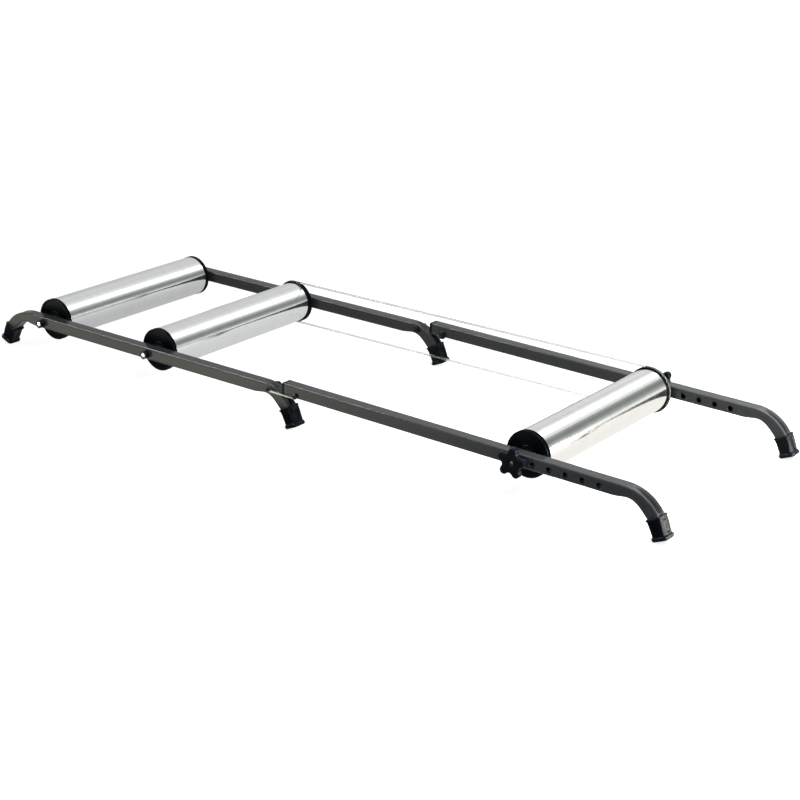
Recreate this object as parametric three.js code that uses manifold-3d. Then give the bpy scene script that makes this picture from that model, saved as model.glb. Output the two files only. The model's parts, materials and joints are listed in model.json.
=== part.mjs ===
// Folding bike rollers: three drums between two bent square-tube side rails, in two hinged sections.
// Lengths are in millimetres. +X points to the single front drum, +Z is up, the left side is +Y.
import * as THREE from 'three';
import * as BufferGeometryUtils from 'three/addons/utils/BufferGeometryUtils.js';
import Module from 'manifold-3d';

const wasm = await Module();
wasm.setup();

const degrees = Math.PI / 180;

// Clearances
const seatGap = 0.3;
const cutOverrun = 5;

// Square frame tube and its press-bent legs
const tubeSize = 23;
const tubeWall = 1.8;
const tubeCorner = 2.6;
const bendRadius = 69;
const bendAngle = 66 * degrees;
const bendSteps = 6;
const crushDepth = 4;
const dishDepth = 3;
const crushPeak = 16;
const crushReach = 38;
const dishRun = 40;
const legStraight = 16.5;
const frameWidth = 476;

// Rail lengths, measured from the rear drum's axis, and how the front section sits on its pivots
const rearLegStart = 38;
const middleLegStart = 582;
const frontRailBack = 637;
const frontLegStart = 1344.5;
const frontRailRise = 9.2;
const frontLean = 0.48 * degrees;

// Drum places
const middleDrumX = 290;
const frontDrumX = 1140;
const axleDrop = 1.6;
const adjustPitch = 32;
const adjustHoles = 6;

// Fold pivots and link
const rearPivotX = 601;
const frontPivotX = 663.5;
const pivotRise = 2.3;
const linkEyeRadius = 5.6;
const linkWaistTop = 4.6;
const linkThickness = 2.5;
const linkEyeOpening = 62 * degrees;

// Fold bolts and flange nuts
const boltRadius = 2.5;
const boltHeadRadius = 4.6;
const boltHeadHeight = 2.8;
const boltHeadCrownRadius = 2.8;
const boltEndOut = 1.2;
const flangeRadius = 8.2;
const flangeThickness = 1.6;
const flangeNutFlats = 12;
const flangeNutHeight = 6;

// Axles, their spacers and nuts
const axleRadius = 5;
const axleChamfer = 1;
const axleDome = 1.6;
const frontAxleOut = 11;
const spacerWall = 2.5;
const spacerRadius = axleRadius + spacerWall;
const axleNutFlats = 15;
const axleNutHeight = 9;

// Drum shell, pressed-in end caps and ball bearings
const drumRadius = 41;
const drumWall = 3;
const drumEndClearance = 18;
const drumShift = 2.3;
const drumLength = frameWidth - 2 * (tubeSize + drumEndClearance);
const capRadius = 41.8;
const pulleyRadius = 43.4;
const capFlange = 9;
const capRimWidth = 3.2;
const capRimBevel = 1.2;
const capDish = 1.5;
const capSpigot = 12;
const bearingDepth = 7.8;
const bearingRadius = axleRadius + bearingDepth;
const bearingWidth = 7;
const bearingRingWall = 2.4;
const bearingShieldDepth = 0.6;
const bearingShoulder = 3.5;

// Drive belt and its groove in the end caps
const beltRadius = 2;
const beltSink = 0.5;
const beltClearance = 0.7;
const grooveMouth = 6.2;
const grooveFloor = 3.2;

// Star knobs and their threaded inserts
const knobRadius = 27.5;
const knobLobes = 5;
const knobTurn = -12 * degrees;
const knobLobeRadius = 6;
const knobWaistRadius = 12;
const knobThickness = 12;
const knobBevel = 1.5;
const insertWall = 2;
const insertRadius = axleRadius + insertWall;
const knobCollarWall = 4;
const knobCollarRadius = insertRadius + knobCollarWall;
const knobCollarHeight = 5;
const knobMouthRadius = 4.4;
const insertLength = 13;

// Rubber feet and end plugs
const footLength = 39;
const footSole = 6;
const footWall = 2.3;
const footHalf = tubeSize / 2 + footWall;
const footLipOut = 0.8;
const footLipHalf = footHalf + footLipOut;
const footLipHeight = 4;
const footBaseOut = 1.6;
const footBaseHalf = footHalf + footBaseOut;
const footBaseHeight = 6;
const footSoleIn = 0.4;
const footSoleHalf = footHalf - footSoleIn;
const footEdge = 1.6;
const footLipCorner = 4.2;
const footBaseCorner = 7;
const footTiltShare = 0.5;
const footFlat = 1.2;
const plugHead = 6.5;
const plugEdge = 1.5;
const plugDepth = 13;
const plugTaper = 1;

// Facets
const drumFacets = 30;
const capFacets = 20;
const axleFacets = 10;
const boreFacets = 10;
const beltArcSteps = 12;
const beltFacets = 6;
const knobLobeSteps = 3;
const linkEyeSteps = 4;
const nutBoreSteps = 5;

// Materials
function finish(color, roughness, metalness) {
  return new THREE.MeshStandardMaterial({ color, roughness, metalness });
}
const finishes = {
  frame: () => finish(0x4a4b4d, 0.42, 0.6),
  drum: () => finish(0xd4d6d6, 0.22, 1),
  plastic: () => finish(0x0c0f14, 0.5, 0),
  rubber: () => finish(0x0a0d12, 0.62, 0),
  steel: () => finish(0xc6c8ca, 0.28, 1),
  blackened: () => finish(0x15171a, 0.4, 0.5),
  belt: () => finish(0xd9d8cf, 0.35, 0),
};

// A closed geometry as a solid, and back
function toSolid(geometry) {
  const bare = geometry.clone();
  for (const name of ['normal', 'uv']) {
    bare.deleteAttribute(name);
  }
  const merged = BufferGeometryUtils.mergeVertices(bare);
  return new wasm.Manifold(new wasm.Mesh({
    numProp: 3,
    vertProperties: merged.attributes.position.array,
    triVerts: Uint32Array.from(merged.index.array),
  }));
}

function toGeometry(solid) {
  const mesh = solid.getMesh();
  const geometry = new THREE.BufferGeometry();
  const corners = Float32Array.from(mesh.vertProperties);
  geometry.setAttribute('position', new THREE.BufferAttribute(corners, mesh.numProp));
  geometry.setIndex(new THREE.BufferAttribute(Uint32Array.from(mesh.triVerts), 1));
  return geometry;
}

function cut(base, cutters) {
  let solid = toSolid(base);
  for (const cutter of cutters) {
    solid = solid.subtract(toSolid(cutter));
  }
  return toGeometry(solid);
}

function join(base, others) {
  let solid = toSolid(base);
  for (const other of others) {
    solid = solid.add(toSolid(other));
  }
  return toGeometry(solid);
}

// A round piece about Y from points of radius and height
function turned(points, facets) {
  return new THREE.LatheGeometry(points.map(([radius, y]) => new THREE.Vector2(radius, y)), facets);
}

function cylinder(radius, length, facets) {
  return new THREE.CylinderGeometry(radius, radius, length, facets);
}

// A plate drawn in the XZ plane and centred on its own thickness
function plate(shape, thickness, options = {}) {
  const geometry = new THREE.ExtrudeGeometry(shape, { depth: thickness, bevelEnabled: false, ...options });
  geometry.translate(0, 0, -thickness / 2);
  geometry.rotateX(90 * degrees);
  return geometry;
}

// A closed skin over rings with the same number of points, capped at both ends or joined into a loop
function skin(rings, looped = false) {
  const count = rings[0].length;
  const points = rings.flat();
  const faces = [];
  const bands = looped ? rings.length : rings.length - 1;
  for (let ring = 0; ring < bands; ring += 1) {
    const here = ring * count;
    const next = ((ring + 1) % rings.length) * count;
    for (let corner = 0; corner < count; corner += 1) {
      const beside = (corner + 1) % count;
      faces.push(here + corner, here + beside, next + beside);
      faces.push(here + corner, next + beside, next + corner);
    }
  }
  if (!looped) {
    for (const end of [0, rings.length - 1]) {
      const middle = new THREE.Vector3();
      rings[end].forEach((point) => middle.addScaledVector(point, 1 / count));
      points.push(middle);
      for (let corner = 0; corner < count; corner += 1) {
        const pair = [end * count + corner, end * count + ((corner + 1) % count)];
        faces.push(points.length - 1, ...(end === 0 ? pair.reverse() : pair));
      }
    }
  }
  const geometry = new THREE.BufferGeometry().setFromPoints(points);
  geometry.setIndex(faces);
  return facingOut(geometry);
}

// Turns every face over when the enclosed volume comes out negative
function facingOut(geometry) {
  const position = geometry.attributes.position;
  const index = geometry.index.array;
  const [a, b, c] = [new THREE.Vector3(), new THREE.Vector3(), new THREE.Vector3()];
  let volume = 0;
  for (let face = 0; face < index.length; face += 3) {
    a.fromBufferAttribute(position, index[face]);
    b.fromBufferAttribute(position, index[face + 1]);
    c.fromBufferAttribute(position, index[face + 2]);
    volume += a.dot(b.cross(c));
  }
  if (volume < 0) {
    geometry.setIndex(Array.from(index).reverse());
  }
  return geometry;
}

// The leg's centre line: straight, then round the bend, then straight down to the tube's end
const bendLength = bendRadius * bendAngle;
const legEnd = bendLength + legStraight;

function legStation(along) {
  const turn = Math.min(Math.max(along, 0), bendLength) / bendRadius;
  const before = Math.min(along, 0);
  const past = Math.max(along - bendLength, 0);
  return {
    along,
    x: before + bendRadius * Math.sin(turn) + past * Math.cos(turn),
    z: bendRadius * Math.cos(turn) - bendRadius - past * Math.sin(turn),
    outX: Math.sin(turn),
    outZ: Math.cos(turn),
  };
}

// How far the press has pushed in the inner wall and dished the outer wall there, from 0 to 1
function crushShare(along) {
  return Math.max(1 - Math.abs(along - crushPeak) / crushReach, 0);
}

function dishShare(along) {
  return Math.min(Math.max(along / dishRun, 0), 1);
}

// The tube's section across the rail: the inner wall is pushed in, the outer wall is dished
const valley = [[0.5, 0.6], [0, 1], [-0.5, 0.6]];

function tubeSection(half, corner, along) {
  const flat = half - corner;
  const dish = dishDepth * dishShare(along);
  const crushed = crushDepth * crushShare(along) - half;
  return [
    [half, crushed + corner],
    [half, flat],
    [flat, half],
    ...valley.map(([across, depth]) => [flat * across, half - dish * depth]),
    [-flat, half],
    [-half, flat],
    [-half, crushed + corner],
    [-flat, crushed],
    [flat, crushed],
  ];
}

function roundedSquare(half, corner, steps) {
  const points = [];
  for (let quarter = 0; quarter < 4; quarter += 1) {
    for (let step = 0; step <= steps; step += 1) {
      const angle = (quarter + step / steps) * 90 * degrees;
      const centreX = quarter === 0 || quarter === 3 ? half - corner : corner - half;
      const centreY = quarter < 2 ? half - corner : corner - half;
      points.push([centreX + corner * Math.cos(angle), centreY + corner * Math.sin(angle)]);
    }
  }
  return points;
}

// A section set square to the centre line at a station; way is -1 for a leg that points to the rear
function ringAt(station, startX, way, section) {
  return section.map(([across, out]) => new THREE.Vector3(
    startX + way * (station.x + station.outX * out),
    across,
    station.z + station.outZ * out,
  ));
}

function legRings(startX, way, end, half, corner) {
  const places = [crushPeak - crushReach];
  for (let step = 0; step <= bendSteps; step += 1) {
    places.push(bendLength * step / bendSteps);
  }
  places.push(end);
  return places.map((along) => {
    return ringAt(legStation(along), startX, way, tubeSection(half, corner, along));
  });
}

// Heights over the floor: the sole's inner corner is worn flat by footFlat
const soleStation = legStation(legEnd + seatGap + footSole);
const railHeight = soleStation.outZ * footSoleHalf - soleStation.z - footFlat;
const frontRailHeight = railHeight + frontRailRise;
const drumHeight = railHeight - axleDrop;
const pivotHeight = railHeight + pivotRise;

// The front section leans down to its leg, about the place over its pivots
function leanedPlace(x, z) {
  const ahead = x - frontPivotX;
  return {
    x: frontPivotX + ahead * Math.cos(frontLean) + z * Math.sin(frontLean),
    z: z * Math.cos(frontLean) - ahead * Math.sin(frontLean),
  };
}

function leaned(geometry) {
  return geometry.translate(-frontPivotX, 0, 0).rotateY(frontLean).translate(frontPivotX, 0, 0);
}

const frontAxle = leanedPlace(frontDrumX, -axleDrop);
const frontDrumHeight = frontRailHeight + frontAxle.z;
const frontLegStretch = leanedPlace(frontLegStart + soleStation.x, 0).z + frontRailRise;
const frontLegEnd = legEnd + frontLegStretch / Math.sin(bendAngle + frontLean);

// Places across the rollers
const tubeHalf = tubeSize / 2;
const railOuterY = frameWidth / 2;
const railY = railOuterY - tubeHalf;
const railInnerY = railOuterY - tubeSize;
const capSeatY = drumLength / 2 + seatGap;
const capFaceY = capSeatY + capFlange;
const bearingFaceY = capFaceY - capDish;
const sides = { left: 1, right: -1 };

// Holes through a rail
const axleHoleRadius = axleRadius + seatGap;
const boltHoleRadius = boltRadius + seatGap;

function crossHole(x, z, radius) {
  return cylinder(radius, tubeSize + cutOverrun, axleFacets).translate(x, 0, z);
}

// Rear side rail: a leg at each end of one tube, open ends inside the feet
function rearRail() {
  const skinOf = (half, corner, overrun) => skin([
    ...legRings(-rearLegStart, -1, legEnd + overrun, half, corner).reverse(),
    ...legRings(middleLegStart, 1, legEnd + overrun, half, corner),
  ]);
  const bore = skinOf(tubeHalf - tubeWall, tubeCorner - tubeWall, cutOverrun);
  return cut(skinOf(tubeHalf, tubeCorner, 0), [
    bore,
    crossHole(0, -axleDrop, axleHoleRadius),
    crossHole(middleDrumX, -axleDrop, axleHoleRadius),
    crossHole(rearPivotX, pivotRise, boltHoleRadius),
  ]);
}

// Front side rail: one leg, a row of wheelbase holes, and a plugged rear end
function frontRail() {
  const skinOf = (half, corner, overrun) => {
    const rear = { ...legStation(0), x: frontRailBack - frontLegStart - overrun };
    return skin([
      ringAt(rear, frontLegStart, 1, tubeSection(half, corner, crushPeak - crushReach)),
      ...legRings(frontLegStart, 1, frontLegEnd + overrun, half, corner),
    ]);
  };
  const cutters = [
    skinOf(tubeHalf - tubeWall, tubeCorner - tubeWall, cutOverrun),
    crossHole(frontPivotX, pivotRise - frontRailRise, boltHoleRadius),
  ];
  for (let hole = 0; hole < adjustHoles; hole += 1) {
    cutters.push(crossHole(frontDrumX + hole * adjustPitch, -axleDrop, axleHoleRadius));
  }
  return leaned(cut(skinOf(tubeHalf, tubeCorner, 0), cutters));
}

// The boot is stiffer than the bend inside it, so its mouth tilts less than the leg does there
function bootRing(along, startX, way, half, corner) {
  const here = legStation(along);
  const turn = Math.atan2(here.outX, here.outZ);
  const tilt = turn + (bendAngle - turn) * footTiltShare;
  const tilted = { ...here, outX: Math.sin(tilt), outZ: Math.cos(tilt) };
  return ringAt(tilted, startX, way, roundedSquare(half, corner, 2));
}

// Rubber foot: a boot with a rolled lip and a flared base, hollowed to take the leg
function foot(startX, way, end, height, placed = (geometry) => geometry) {
  const sole = end + seatGap + footSole;
  const top = sole - footLength;
  const profile = [
    [top, footLipHalf - footEdge, footLipCorner],
    [top + footEdge, footLipHalf, footLipCorner],
    [top + footLipHeight, footHalf, footLipCorner],
    [sole - footBaseHeight - footEdge, footHalf, footBaseCorner],
    [sole - footBaseHeight, footBaseHalf, footBaseCorner],
    [sole - footEdge, footBaseHalf, footBaseCorner],
    [sole, footSoleHalf, footBaseCorner],
  ];
  const boot = skin(profile.map(([along, half, corner]) => bootRing(along, startX, way, half, corner)));
  const insideRings = legRings(startX, way, end + seatGap, tubeHalf + seatGap, tubeCorner);
  const inside = skin(way < 0 ? insideRings.reverse() : insideRings);
  const floor = new THREE.BoxGeometry(frontLegStart, tubeSize * 4, railHeight);
  floor.translate(soleStation.x + startX, 0, -height - railHeight / 2);
  return cut(placed(cut(boot, [inside])), [floor]);
}

// Plug for the open rear end of a front rail
function endPlug() {
  const headBack = frontRailBack - seatGap - plugHead;
  const spigotHalf = tubeHalf - tubeWall - seatGap;
  const steps = [
    [headBack, tubeHalf - plugEdge],
    [headBack + plugEdge, tubeHalf],
    [headBack + plugHead, tubeHalf],
    [headBack + plugHead, spigotHalf],
    [frontRailBack + plugDepth - plugTaper, spigotHalf],
    [frontRailBack + plugDepth, spigotHalf - plugTaper],
  ];
  return skin(steps.map(([x, half]) => {
    return roundedSquare(half, tubeCorner, 1).map(([across, out]) => new THREE.Vector3(x, across, out));
  }));
}

// Fold link: a flat bar with two eyes, bowed so that its middle hangs below the pivots
function foldLink() {
  const pitch = frontPivotX - rearPivotX;
  const shape = new THREE.Shape();
  const eyeX = linkEyeRadius * Math.cos(linkEyeOpening);
  const eyeZ = linkEyeRadius * Math.sin(linkEyeOpening);
  shape.absarc(0, 0, linkEyeRadius, linkEyeOpening, 270 * degrees);
  shape.lineTo(pitch, -linkEyeRadius);
  shape.absarc(pitch, 0, linkEyeRadius, -90 * degrees, 180 * degrees - linkEyeOpening);
  shape.bezierCurveTo(
    pitch - eyeX - eyeZ, -linkWaistTop,
    eyeX + eyeZ, -linkWaistTop,
    eyeX, eyeZ,
  );
  for (const x of [0, pitch]) {
    shape.holes.push(new THREE.Path().absarc(x, 0, boltHoleRadius, 0, 360 * degrees, true));
  }
  return plate(shape, linkThickness, { curveSegments: linkEyeSteps });
}

// Button-head fold bolt; height 0 is under its head
const boltGrip = linkThickness + seatGap * 3 + tubeSize + flangeNutHeight + boltEndOut;

function foldBolt() {
  return turned([
    [0, -boltGrip],
    [boltRadius, -boltGrip],
    [boltRadius, 0],
    [boltHeadRadius, 0],
    [boltHeadCrownRadius, boltHeadHeight],
    [0, boltHeadHeight],
  ], axleFacets);
}

// Hexagon pieces: flats is the width across flats
function hexagon(flats, boreRadius) {
  const shape = new THREE.Shape();
  const cornerRadius = flats / 2 / Math.cos(30 * degrees);
  for (let corner = 0; corner < 6; corner += 1) {
    const angle = corner * 60 * degrees;
    const point = [cornerRadius * Math.cos(angle), cornerRadius * Math.sin(angle)];
    shape[corner === 0 ? 'moveTo' : 'lineTo'](...point);
  }
  shape.closePath();
  if (boreRadius > 0) {
    shape.holes.push(new THREE.Path().absarc(0, 0, boreRadius, 0, 360 * degrees, true));
  }
  return shape;
}

// Height 0 is the face that bears on the rail
function flangeNut() {
  const boreRadius = boltHoleRadius;
  const body = plate(hexagon(flangeNutFlats, 0), flangeNutHeight).translate(0, flangeNutHeight / 2, 0);
  const flange = cylinder(flangeRadius, flangeThickness, axleFacets).translate(0, flangeThickness / 2, 0);
  return cut(join(body, [flange]), [cylinder(boreRadius, flangeNutHeight * 3, axleFacets)]);
}

function axleNut() {
  return plate(hexagon(axleNutFlats, axleHoleRadius), axleNutHeight, { curveSegments: nutBoreSteps })
    .translate(0, axleNutHeight / 2, 0);
}

// Drum shell: a tube open at both ends
function drumShell() {
  const bore = drumRadius - drumWall;
  const half = drumLength / 2;
  const start = [bore, -half];
  return turned([start, [drumRadius, -half], [drumRadius, half], [bore, half], start], drumFacets);
}

// End cap: height 0 is the shell's end; the belt groove runs round the flange, larger on a pulley cap
const grooveHeight = seatGap + (capFlange - seatGap) / 2;
const beltTrack = pulleyRadius - beltSink;

function endCap(outerRadius) {
  const seat = bearingRadius + seatGap;
  const grooveRadius = outerRadius - beltSink - beltRadius - beltClearance;
  const spigotRadius = drumRadius - drumWall - seatGap;
  const face = capFlange - capDish;
  const start = [seat - bearingShoulder, -capSpigot];
  return turned([
    start,
    [spigotRadius, -capSpigot],
    [spigotRadius, seatGap],
    [outerRadius, seatGap],
    [outerRadius, grooveHeight - grooveMouth / 2],
    [grooveRadius, grooveHeight - grooveFloor / 2],
    [grooveRadius, grooveHeight + grooveFloor / 2],
    [outerRadius, grooveHeight + grooveMouth / 2],
    [outerRadius, capFlange],
    [outerRadius - capRimWidth, capFlange],
    [outerRadius - capRimWidth - capRimBevel, face],
    [seat, face],
    [seat, face - bearingWidth - seatGap],
    [seat - bearingShoulder, face - bearingWidth - seatGap],
    start,
  ], capFacets);
}

// Sealed ball bearing: height 0 is its outer face
function bearing() {
  const inner = axleRadius + seatGap;
  const start = [inner, -bearingWidth];
  return turned([
    start,
    [bearingRadius, -bearingWidth],
    [bearingRadius, 0],
    [bearingRadius - bearingRingWall, 0],
    [bearingRadius - bearingRingWall, -bearingShieldDepth],
    [inner + bearingRingWall, -bearingShieldDepth],
    [inner + bearingRingWall, 0],
    [inner, 0],
    start,
  ], boreFacets);
}

// Axle with chamfered or domed ends
function axle(halfLength, dome) {
  const shoulder = halfLength - dome;
  return turned([
    [0, -halfLength],
    [axleRadius - axleChamfer, -halfLength],
    [axleRadius, -shoulder],
    [axleRadius, shoulder],
    [axleRadius - axleChamfer, halfLength],
    [0, halfLength],
  ], axleFacets);
}

// Sleeve between the bearing's inner ring and the rail: height 0 is its bearing end
const spacerStartY = bearingFaceY + seatGap;
const spacerEndY = railInnerY - seatGap;

function spacer(side) {
  const inner = axleRadius + seatGap;
  const length = spacerEndY - spacerStartY - drumShift * side;
  const start = [inner, 0];
  return turned([start, [spacerRadius, 0], [spacerRadius, length], [inner, length], start], axleFacets);
}

// Star knob: height 0 is the collar's face that clamps on the rail
function starOutline() {
  const shape = new THREE.Shape();
  const tipDistance = knobRadius - knobLobeRadius - knobBevel;
  const halfSweep = 80 * degrees;
  const step = 360 * degrees / knobLobes;
  for (let lobe = 0; lobe < knobLobes; lobe += 1) {
    const angle = knobTurn + lobe * step;
    const next = angle + step / 2;
    const centre = [tipDistance * Math.cos(angle), tipDistance * Math.sin(angle)];
    shape.absarc(...centre, knobLobeRadius, angle - halfSweep, angle + halfSweep);
    const start = angle + step;
    const end = [
      tipDistance * Math.cos(start) + knobLobeRadius * Math.cos(start - halfSweep),
      tipDistance * Math.sin(start) + knobLobeRadius * Math.sin(start - halfSweep),
    ];
    shape.quadraticCurveTo(knobWaistRadius * Math.cos(next), knobWaistRadius * Math.sin(next), ...end);
  }
  return shape;
}

const knobHeight = knobCollarHeight + knobThickness;

function starKnob() {
  const options = {
    bevelEnabled: true,
    bevelThickness: knobBevel,
    bevelSize: knobBevel,
    bevelSegments: 1,
    curveSegments: knobLobeSteps,
  };
  const straight = knobThickness - knobBevel * 2;
  const star = plate(starOutline(), straight, options);
  star.translate(0, knobCollarHeight + knobThickness / 2, 0);
  const collar = cylinder(knobCollarRadius, knobCollarHeight * 2, boreFacets);
  collar.translate(0, knobCollarHeight, 0);
  const pocket = cylinder(insertRadius + seatGap, insertLength + seatGap, boreFacets);
  pocket.translate(0, (insertLength + seatGap) / 2, 0);
  const mouth = cylinder(knobMouthRadius, knobHeight * 2, boreFacets).translate(0, knobHeight, 0);
  return cut(join(star, [collar]), [pocket, pocket.clone().translate(0, -cutOverrun, 0), mouth]);
}

function knobInsert() {
  const inner = axleRadius + seatGap;
  const start = [inner, 0];
  const end = [inner, insertLength];
  return turned([start, [insertRadius, 0], [insertRadius, insertLength], end, start], axleFacets);
}

// Closed belt round the middle and front drums' left caps
function driveBelt() {
  const rise = frontDrumHeight - drumHeight;
  const slope = Math.atan2(rise, frontAxle.x - middleDrumX);
  const rings = [];
  for (const [x, z, start] of [[frontAxle.x, frontDrumHeight, -90], [middleDrumX, drumHeight, 90]]) {
    for (let step = 0; step <= beltArcSteps; step += 1) {
      const angle = slope + (start + 180 * step / beltArcSteps) * degrees;
      const ring = [];
      for (let corner = 0; corner < beltFacets; corner += 1) {
        const round = corner * 360 * degrees / beltFacets;
        const radius = beltTrack + beltRadius * Math.cos(round);
        const across = beltRadius * Math.sin(round);
        ring.push(new THREE.Vector3(x + radius * Math.cos(angle), across, z + radius * Math.sin(angle)));
      }
      rings.push(ring);
    }
  }
  return skin(rings, true);
}

// Assembly
const rollers = new THREE.Group();

function add(name, geometry, material, x, y, z) {
  const mesh = new THREE.Mesh(geometry, material);
  mesh.name = name;
  mesh.position.set(x, y, z);
  rollers.add(mesh);
  return mesh;
}

// The same piece on both sides; turn it over on the right so that its height points outwards
function addOutward(name, geometry, material, x, y, z, side) {
  const mesh = add(name, geometry, material, x, y * side, z);
  if (side < 0) {
    mesh.rotation.x = 180 * degrees;
  }
  return mesh;
}

const rearRailGeometry = rearRail();
const frontRailGeometry = frontRail();
const rearFoot = foot(-rearLegStart, -1, legEnd, railHeight);
const middleFoot = foot(middleLegStart, 1, legEnd, railHeight);
const frontFoot = foot(frontLegStart, 1, frontLegEnd, frontRailHeight, leaned);

for (const [name, side] of Object.entries(sides)) {
  const y = railY * side;
  add(`rear_rail_${name}`, rearRailGeometry, finishes.frame(), 0, y, railHeight);
  add(`foot_rear_${name}`, rearFoot, finishes.rubber(), 0, y, railHeight);
  add(`foot_middle_${name}`, middleFoot, finishes.rubber(), 0, y, railHeight);
  add(`front_rail_${name}`, frontRailGeometry, finishes.frame(), 0, y, frontRailHeight);
  add(`foot_front_${name}`, frontFoot, finishes.rubber(), 0, y, frontRailHeight);
  add(`end_plug_${name}`, leaned(endPlug()), finishes.plastic(), 0, y, frontRailHeight);
  const linkY = (railOuterY + seatGap + linkThickness / 2) * side;
  add(`fold_link_${name}`, foldLink(), finishes.steel(), rearPivotX, linkY, pivotHeight);
}

// Drums
const drums = [
  ['rear', 0, drumHeight],
  ['middle', middleDrumX, drumHeight],
  ['front', frontAxle.x, frontDrumHeight],
];
for (const [place, x, z] of drums) {
  add(`${place}_drum_shell`, drumShell(), finishes.drum(), x, drumShift, z);
  for (const [name, side] of Object.entries(sides)) {
    const shift = drumShift * side;
    const cap = endCap(side > 0 && place !== 'rear' ? pulleyRadius : capRadius);
    addOutward(`${place}_end_cap_${name}`, cap, finishes.plastic(), x, drumLength / 2 + shift, z, side);
    addOutward(`${place}_bearing_${name}`, bearing(), finishes.steel(), x, bearingFaceY + shift, z, side);
    const sleeveY = spacerStartY + shift;
    addOutward(`${place}_spacer_${name}`, spacer(side), finishes.steel(), x, sleeveY, z, side);
  }
}

// Axles and what holds them
const nutFaceY = railOuterY + seatGap;
const axleHalf = nutFaceY + axleNutHeight + axleDome;
const boltHeadY = railOuterY + linkThickness + seatGap * 2;
add('rear_axle', axle(axleHalf, axleDome), finishes.steel(), 0, 0, drumHeight);
add('middle_axle', axle(axleHalf, axleDome), finishes.steel(), middleDrumX, 0, drumHeight);
const frontAxleHalf = railOuterY + frontAxleOut;
add('front_axle', axle(frontAxleHalf, axleChamfer), finishes.steel(), frontAxle.x, 0, frontDrumHeight);
const pivots = [['rear', rearPivotX], ['front', frontPivotX]];
for (const [name, side] of Object.entries(sides)) {
  for (const [place, x] of [['rear', 0], ['middle', middleDrumX]]) {
    const nutName = `${place}_axle_nut_${name}`;
    addOutward(nutName, axleNut(), finishes.blackened(), x, nutFaceY, drumHeight, side);
  }
  for (const [place, x] of pivots) {
    const boltName = `fold_bolt_${place}_${name}`;
    addOutward(boltName, foldBolt(), finishes.blackened(), x, boltHeadY, pivotHeight, side);
    const nutName = `fold_nut_${place}_${name}`;
    const nut = addOutward(nutName, flangeNut(), finishes.blackened(), x, 0, pivotHeight, -side);
    nut.position.y = (railInnerY - seatGap) * side;
  }
}

for (const [name, side] of Object.entries(sides)) {
  const knob = [starKnob(), finishes.plastic()];
  addOutward(`star_knob_${name}`, ...knob, frontAxle.x, nutFaceY, frontDrumHeight, side);
  const insert = [knobInsert(), finishes.steel()];
  addOutward(`knob_insert_${name}`, ...insert, frontAxle.x, nutFaceY, frontDrumHeight, side);
}
add('drive_belt', driveBelt(), finishes.belt(), 0, drumLength / 2 + grooveHeight + drumShift, 0);

// The origin is on the floor, midway between the ends
const extent = new THREE.Box3().setFromObject(rollers);
rollers.position.x = -(extent.min.x + extent.max.x) / 2;

export default rollers;
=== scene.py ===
# %% [markdown]
# # Bike rollers, dressed in Blender
# Three polished drums turn between two bent side rails, and the frame folds in its middle. The packed
# solids say where each piece is and what moves with what. This lesson gives every piece the curves,
# edges and finish of the real one, at the same place, so that it still moves with its solid.
# Lengths are written in millimetres, as on a workshop drawing, and MM makes metres of them.

import json
from math import atan2, cos, pi, radians, sin

import bmesh
import bpy
from mathutils import Matrix, Vector
from mathutils.geometry import interpolate_bezier

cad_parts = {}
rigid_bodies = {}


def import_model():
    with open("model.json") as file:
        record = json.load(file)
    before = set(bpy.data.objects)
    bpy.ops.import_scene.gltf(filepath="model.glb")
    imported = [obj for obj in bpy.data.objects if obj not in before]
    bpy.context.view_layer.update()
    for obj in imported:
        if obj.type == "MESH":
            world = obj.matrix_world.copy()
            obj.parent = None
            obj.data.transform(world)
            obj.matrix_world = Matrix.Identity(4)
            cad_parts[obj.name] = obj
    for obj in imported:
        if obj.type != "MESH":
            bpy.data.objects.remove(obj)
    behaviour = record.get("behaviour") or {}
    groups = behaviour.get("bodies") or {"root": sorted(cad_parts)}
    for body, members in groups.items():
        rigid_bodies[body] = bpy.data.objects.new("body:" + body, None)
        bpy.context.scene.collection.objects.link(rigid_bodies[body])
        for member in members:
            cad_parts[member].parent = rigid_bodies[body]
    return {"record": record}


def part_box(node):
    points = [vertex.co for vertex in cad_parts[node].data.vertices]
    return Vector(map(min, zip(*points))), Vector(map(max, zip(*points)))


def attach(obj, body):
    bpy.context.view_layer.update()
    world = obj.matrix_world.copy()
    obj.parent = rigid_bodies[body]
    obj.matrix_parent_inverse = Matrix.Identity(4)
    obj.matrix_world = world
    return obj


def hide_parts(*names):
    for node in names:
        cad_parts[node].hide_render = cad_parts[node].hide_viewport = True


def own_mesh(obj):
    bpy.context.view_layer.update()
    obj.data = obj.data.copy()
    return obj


for left_over in list(bpy.data.objects):
    bpy.data.objects.remove(left_over)
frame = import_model()
scene = bpy.context.scene
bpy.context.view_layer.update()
MM = 0.001
SIDES = {"left": 1, "right": -1}


def linked(name, data):
    """An object made of this mesh, curve, light or camera, standing in the scene."""
    made = bpy.data.objects.new(name, data)
    scene.collection.objects.link(made)
    return made


# %% [markdown]
# ## Camera
# The photograph was taken from the front right corner, looking down a little, with a long lens. The
# camera stands where the edges of the rails, drums and feet fall on the photograph's edges, which was
# worked out from the straight rails and the round drums. The shift is under one percent of the width.

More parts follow.
